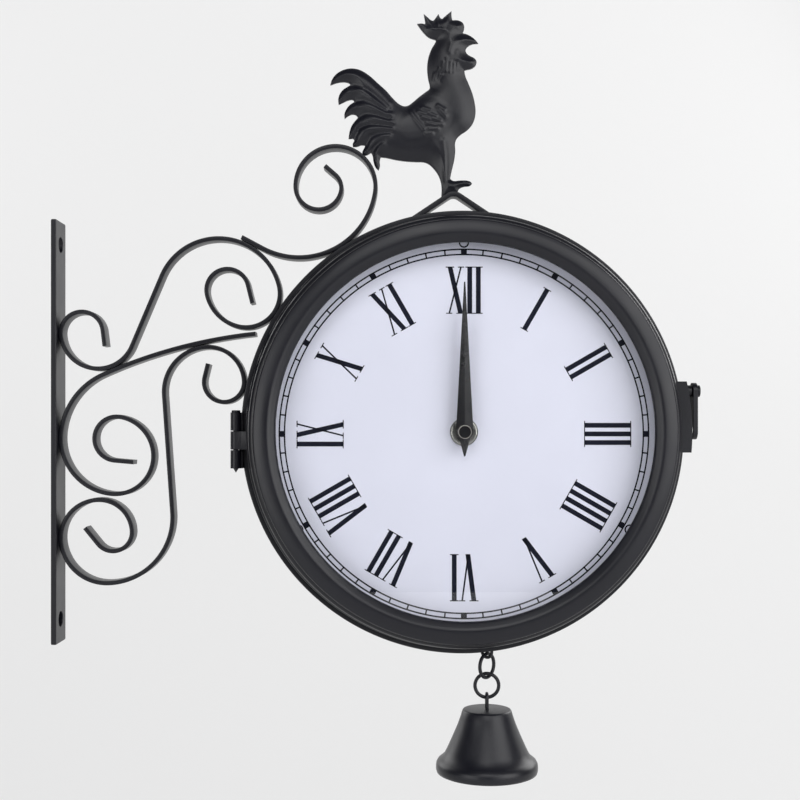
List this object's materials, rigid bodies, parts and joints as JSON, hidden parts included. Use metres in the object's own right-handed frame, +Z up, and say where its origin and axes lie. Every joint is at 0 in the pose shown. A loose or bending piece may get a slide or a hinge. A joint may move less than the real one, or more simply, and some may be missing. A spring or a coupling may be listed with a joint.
{
  "type": "double-sided wall clock",
  "caption": "Black iron wall clock with a dial on each face of a hinged round drum, carried by a scrolled bracket, with a cast rooster on top and a hanging bell below.",
  "frame": {"origin": "middle of the wall plate's back face, half way between its two screw holes", "axes": "+X out from the wall, +Y along the drum's axis to the rear dial, +Z up"},
  "size_m": [0.3529, 0.0768, 0.4232],
  "materials": {
    "black_iron": "satin black powder coat over mild steel",
    "black_casting": "satin black paint over cast iron",
    "white_enamel": "smooth off-white dial paint with printed numerals",
    "hand_black": "satin black pressed hands",
    "clear_glass": "clear float glass",
    "black_rubber": "matt rubber",
    "black_plastic": "matt moulded plastic",
    "plain_steel": "plain bright steel",
    "yellow_brass": "cut brass",
    "cell_jacket": "plain printed cell jacket, no lettering",
    "board_green": "solder-resist green"
  },
  "bodies": {
    "bracket": {"wall_plate": "black_iron", "upper_scroll": "black_iron", "middle_scroll": "black_iron", "lower_scroll": "black_iron", "top_scroll": "black_iron", "rim_band": "black_iron", "rear_hinge_leaf": "black_iron", "hinge_pin": "black_iron", "keeper_stud": "black_iron", "rooster": "black_casting", "rooster_strap": "black_iron", "bell_staple": "black_iron", "rear_case": "black_iron", "rear_bezel": "black_casting", "rear_glass": "clear_glass", "rear_gasket": "black_rubber", "rear_dial": "white_enamel", "rear_dial_screws": "plain_steel", "rear_movement_case": "black_plastic", "rear_movement_cover": "black_plastic", "rear_battery": "cell_jacket", "rear_battery_contacts": "plain_steel", "rear_circuit_board": "board_green", "rear_shaft_nut": "plain_steel"},
    "front_half": {"front_case": "black_iron", "front_bezel": "black_casting", "front_glass": "clear_glass", "front_gasket": "black_rubber", "front_dial": "white_enamel", "front_dial_screws": "plain_steel", "front_movement_case": "black_plastic", "front_movement_cover": "black_plastic", "front_battery": "cell_jacket", "front_battery_contacts": "plain_steel", "front_circuit_board": "board_green", "front_shaft_nut": "plain_steel", "front_hinge_leaf": "black_iron", "latch_plate": "black_iron", "latch_pivot": "black_iron"},
    "front_minute": {"front_minute_arbor": "yellow_brass", "front_minute_hand": "hand_black", "front_hand_cap": "hand_black"},
    "front_hour": {"front_hour_wheel": "yellow_brass", "front_hour_hand": "hand_black"},
    "front_wheel": {"front_minute_wheel": "yellow_brass"},
    "rear_minute": {"rear_minute_arbor": "yellow_brass", "rear_minute_hand": "hand_black", "rear_hand_cap": "hand_black"},
    "rear_hour": {"rear_hour_wheel": "yellow_brass", "rear_hour_hand": "hand_black"},
    "rear_wheel": {"rear_minute_wheel": "yellow_brass"},
    "latch": {"latch_hook": "black_iron"},
    "upper_ring": {"upper_ring": "black_iron"},
    "lower_ring": {"lower_ring": "black_iron"},
    "bell": {"bell": "black_casting", "bell_loop": "black_iron"},
    "clapper": {"clapper": "black_iron"}
  },
  "joints": [
    {"name": "case_hinge", "type": "hinge", "parent": "bracket", "child": "front_half", "pos_m": [0.1018, -0.0105, 0], "axis": [0, 0, -1], "range_deg": [0, 105]},
    {"name": "latch_swing", "type": "hinge", "parent": "front_half", "child": "latch", "pos_m": [0.34985, -0.021, 0.022], "axis": [1, 0, 0], "range_deg": [0, 90]},
    {"name": "front_minute_turn", "type": "hinge", "parent": "front_half", "child": "front_minute", "pos_m": [0.226, -0.021, 0], "axis": [0, 1, 0], "continuous": true},
    {"name": "front_hour_turn", "type": "hinge", "parent": "front_half", "child": "front_hour", "pos_m": [0.226, -0.021, 0], "axis": [0, 1, 0], "continuous": true},
    {"name": "front_wheel_turn", "type": "hinge", "parent": "front_half", "child": "front_wheel", "pos_m": [0.226, -0.016, 0.012], "axis": [0, 1, 0], "continuous": true},
    {"name": "rear_minute_turn", "type": "hinge", "parent": "bracket", "child": "rear_minute", "pos_m": [0.226, 0.021, 0], "axis": [0, -1, 0], "continuous": true},
    {"name": "rear_hour_turn", "type": "hinge", "parent": "bracket", "child": "rear_hour", "pos_m": [0.226, 0.021, 0], "axis": [0, -1, 0], "continuous": true},
    {"name": "rear_wheel_turn", "type": "hinge", "parent": "bracket", "child": "rear_wheel", "pos_m": [0.226, 0.016, 0.012], "axis": [0, -1, 0], "continuous": true},
    {"name": "upper_ring_swing", "type": "hinge", "parent": "bracket", "child": "upper_ring", "pos_m": [0.24, 0, -0.12539], "axis": [-0.766, 0.6428, 0], "range_deg": [-25, 25]},
    {"name": "lower_ring_swing", "type": "hinge", "parent": "upper_ring", "child": "lower_ring", "pos_m": [0.24, 0, -0.13654], "axis": [0.6428, 0.766, 0], "range_deg": [-25, 25]},
    {"name": "bell_swing", "type": "hinge", "parent": "lower_ring", "child": "bell", "pos_m": [0.24, 0, -0.14759], "axis": [1, 0, 0], "range_deg": [-30, 30]},
    {"name": "clapper_swing", "type": "hinge", "parent": "bell", "child": "clapper", "pos_m": [0.24, 0, -0.15884], "axis": [0, 1, 0], "range_deg": [-38, 38]}
  ],
  "couplings": [
    {"joint": "front_hour_turn", "follows": "front_minute_turn", "ratio": 0.083333},
    {"joint": "front_wheel_turn", "follows": "front_minute_turn", "ratio": -0.33333},
    {"joint": "rear_hour_turn", "follows": "rear_minute_turn", "ratio": 0.083333},
    {"joint": "rear_wheel_turn", "follows": "rear_minute_turn", "ratio": -0.33333}
  ]
}
